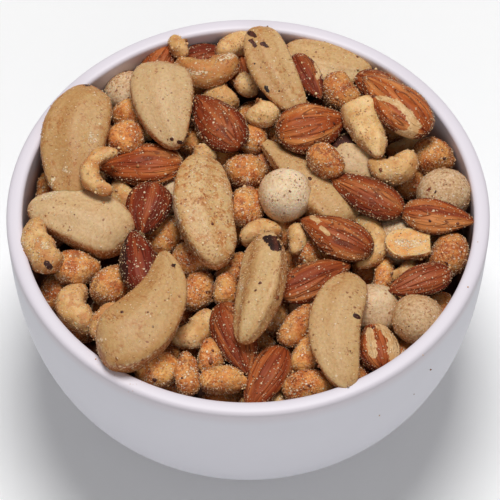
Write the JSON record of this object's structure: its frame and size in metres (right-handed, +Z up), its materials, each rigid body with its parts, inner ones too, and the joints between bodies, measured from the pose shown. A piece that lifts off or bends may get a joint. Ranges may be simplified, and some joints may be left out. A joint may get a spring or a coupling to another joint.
{
  "type": "bowl of honey roasted nuts",
  "caption": "Round white porcelain bowl with a low foot ring, heaped to the rim with mixed honey roasted nuts.",
  "frame": {"origin": "on the table under the bowl's middle", "axes": "+Z up, -Y towards the person who looks into the bowl, +X to their right"},
  "size_m": [0.15, 0.15, 0.0883],
  "materials": {
    "porcelain": "satin white glaze",
    "roasted_nuts": "dry, with a thin honey glaze and sugar grains; stands in for roasted nuts"
  },
  "bodies": {
    "root": {"bowl": "porcelain", "nut_heap": "roasted_nuts"}
  },
  "joints": []
}
